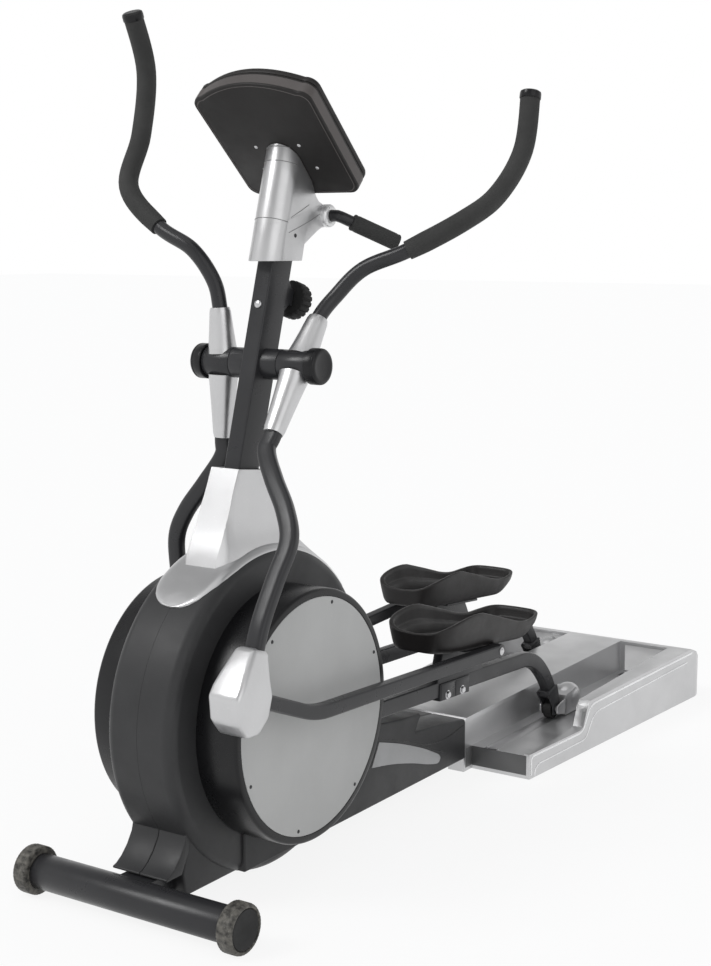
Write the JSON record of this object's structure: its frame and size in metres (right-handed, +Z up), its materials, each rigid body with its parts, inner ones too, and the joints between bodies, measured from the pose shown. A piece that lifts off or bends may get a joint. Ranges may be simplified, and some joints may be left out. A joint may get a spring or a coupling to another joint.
{
  "type": "elliptical trainer",
  "caption": "Front-drive elliptical cross trainer with swinging handle arms, tray pedals on rolling links, round drive housing, roller track platform and angled console.",
  "frame": {"origin": "centre of the bounding box at floor level", "axes": "+Z up, +Y from the front stabilizer towards the rear of the track platform, +X towards the left side of the machine as its user faces the console"},
  "size_m": [0.7912, 2.2346, 1.8175],
  "materials": {
    "dark_steel": "semi-gloss black enamel",
    "black_plastic": "satin moulded plastic",
    "gloss_black": "polished moulded plastic",
    "silver_plastic": "silver metallic lacquer",
    "disc_grey": "satin grey sheet",
    "foam": "foam rubber",
    "rubber_black": "rubber",
    "cap_grey": "ribbed rubber",
    "console_brown": "fine grained plastic",
    "bright_steel": "zinc plated",
    "bare_aluminium": "extruded",
    "bronze_bush": "sintered bush",
    "iron": "turned casting",
    "screen": "clear over a grey liquid crystal screen",
    "green_button": "moulded",
    "red_button": "moulded",
    "grey_button": "moulded"
  },
  "bodies": {
    "frame": {"front_stabilizer": "dark_steel", "stabilizer_caps": "cap_grey", "main_frame": "dark_steel", "mast_post": "dark_steel", "pivot_bar": "dark_steel", "pivot_bar_caps": "gloss_black", "hub_bushes": "bronze_bush", "mast_shroud": "silver_plastic", "left_housing_shell": "black_plastic", "right_housing_shell": "black_plastic", "drum_guards": "gloss_black", "side_discs": "disc_grey", "cover_screws": "bright_steel", "fairing_inserts": "silver_plastic", "platform_cover": "silver_plastic", "track_rails": "bare_aluminium", "levelling_feet": "rubber_black", "crank_bearings": "bright_steel", "flywheel_axle": "bright_steel", "drive_belt": "rubber_black", "console_back": "console_brown", "console_face": "console_brown", "display_window": "screen", "neck_lower": "silver_plastic", "neck_upper": "silver_plastic", "fixed_handlebar": "dark_steel", "handlebar_grips": "foam"},
    "crank": {"crank_shaft": "bright_steel", "left_crank_arm": "bright_steel", "right_crank_arm": "bright_steel", "drive_pulley": "black_plastic"},
    "flywheel": {"flywheel": "iron"},
    "idler": {"belt_tensioner": "black_plastic"},
    "magnet_bracket": {"brake_bracket": "bright_steel"},
    "tension_knob": {"tension_knob": "black_plastic"},
    "start_button": {"start_button": "green_button"},
    "stop_button": {"stop_button": "red_button"},
    "up_button": {"up_button": "grey_button"},
    "down_button": {"down_button": "grey_button"},
    "left_arm": {"left_swing_arm": "dark_steel", "left_arm_covers": "silver_plastic", "left_grip": "foam", "left_joint_boot": "silver_plastic", "left_joint_pin": "bright_steel"},
    "left_tube": {"left_pedal_tube": "dark_steel"},
    "left_link": {"left_link": "dark_steel", "left_pedal": "black_plastic"},
    "left_carriage": {"left_carriage": "silver_plastic"},
    "left_roller": {"left_roller": "rubber_black"},
    "right_arm": {"right_swing_arm": "dark_steel", "right_arm_covers": "silver_plastic", "right_grip": "foam", "right_joint_boot": "silver_plastic", "right_joint_pin": "bright_steel"},
    "right_tube": {"right_pedal_tube": "dark_steel"},
    "right_link": {"right_link": "dark_steel", "right_pedal": "black_plastic"},
    "right_carriage": {"right_carriage": "silver_plastic"},
    "right_roller": {"right_roller": "rubber_black"}
  },
  "joints": [
    {"name": "left_swing", "type": "hinge", "parent": "frame", "child": "left_arm", "pos_m": [0.139, -0.63935, 1.067], "axis": [1, 0, 0], "range_deg": [0, 36.49]},
    {"name": "right_swing", "type": "hinge", "parent": "frame", "child": "right_arm", "pos_m": [-0.139, -0.63935, 1.067], "axis": [1, 0, 0], "range_deg": [-36.54, 0]},
    {"name": "left_tube_pivot", "type": "hinge", "parent": "left_arm", "child": "left_tube", "pos_m": [0.237, -1.00271, 0.47573], "axis": [1, 0, 0], "range_deg": [-31.09, 0]},
    {"name": "right_tube_pivot", "type": "hinge", "parent": "right_arm", "child": "right_tube", "pos_m": [-0.237, -0.57988, 0.37555], "axis": [1, 0, 0], "range_deg": [0, 31.09]},
    {"name": "left_carriage_slide", "type": "slide", "parent": "frame", "child": "left_carriage", "axis": [0, 1, 0], "range_m": [0, 0.43434]},
    {"name": "left_link_pivot", "type": "hinge", "parent": "left_carriage", "child": "left_link", "pos_m": [0.139, 0.44251, 0.0883], "axis": [1, 0, 0], "range_deg": [0, 0.994]},
    {"name": "left_roller_spin", "type": "hinge", "parent": "left_carriage", "child": "left_roller", "pos_m": [0.139, 0.44251, 0.0883], "axis": [1, 0, 0], "range_deg": [-956.09, 0]},
    {"name": "right_carriage_slide", "type": "slide", "parent": "frame", "child": "right_carriage", "axis": [0, 1, 0], "range_m": [-0.43434, 0]},
    {"name": "right_link_pivot", "type": "hinge", "parent": "right_carriage", "child": "right_link", "pos_m": [-0.139, 0.87635, 0.0883], "axis": [1, 0, 0], "range_deg": [-0.994, 0]},
    {"name": "right_roller_spin", "type": "hinge", "parent": "right_carriage", "child": "right_roller", "pos_m": [-0.139, 0.87635, 0.0883], "axis": [1, 0, 0], "range_deg": [0, 956.09]},
    {"name": "crank_spin", "type": "hinge", "parent": "frame", "child": "crank", "pos_m": [0, -0.70635, 0.357], "axis": [1, 0, 0], "continuous": true},
    {"name": "flywheel_spin", "type": "hinge", "parent": "frame", "child": "flywheel", "pos_m": [0, -0.87435, 0.239], "axis": [1, 0, 0], "continuous": true},
    {"name": "idler_spin", "type": "hinge", "parent": "frame", "child": "idler", "pos_m": [0, -0.90862, 0.32624], "axis": [1, 0, 0], "continuous": true},
    {"name": "magnet_hinge", "type": "hinge", "parent": "frame", "child": "magnet_bracket", "pos_m": [0, -0.87235, 0.36], "axis": [1, 0, 0], "range_deg": [0, 8]},
    {"name": "tension_turn", "type": "hinge", "parent": "frame", "child": "tension_knob", "pos_m": [0, -0.53805, 1.19915], "axis": [0, 0.9608, -0.2773], "range_deg": [0, 300]},
    {"name": "start_press", "type": "slide", "parent": "frame", "child": "start_button", "axis": [0, -0.6845, -0.729], "range_m": [0, 0.0015], "stiffness_N_per_m": 400},
    {"name": "stop_press", "type": "slide", "parent": "frame", "child": "stop_button", "axis": [0, -0.6845, -0.729], "range_m": [0, 0.0015], "stiffness_N_per_m": 400},
    {"name": "down_press", "type": "slide", "parent": "frame", "child": "down_button", "axis": [0, -0.6845, -0.729], "range_m": [0, 0.0015], "stiffness_N_per_m": 400},
    {"name": "up_press", "type": "slide", "parent": "frame", "child": "up_button", "axis": [0, -0.6845, -0.729], "range_m": [0, 0.0015], "stiffness_N_per_m": 400}
  ],
  "couplings": [
    {"joint": "right_swing", "follows": "left_swing", "ratio": -1},
    {"joint": "left_tube_pivot", "follows": "left_swing", "ratio": -0.85057},
    {"joint": "right_tube_pivot", "follows": "left_swing", "ratio": 0.85057},
    {"joint": "left_carriage_slide", "follows": "left_swing", "m_per_rad": 0.68124},
    {"joint": "left_link_pivot", "follows": "left_swing", "ratio": 0.025873},
    {"joint": "left_roller_spin", "follows": "left_swing", "ratio": -26.201},
    {"joint": "right_carriage_slide", "follows": "left_swing", "m_per_rad": -0.68124},
    {"joint": "right_link_pivot", "follows": "left_swing", "ratio": -0.025873},
    {"joint": "right_roller_spin", "follows": "left_swing", "ratio": 26.201},
    {"joint": "flywheel_spin", "follows": "crank_spin", "ratio": 6.6667},
    {"joint": "idler_spin", "follows": "crank_spin", "ratio": -6.572}
  ]
}
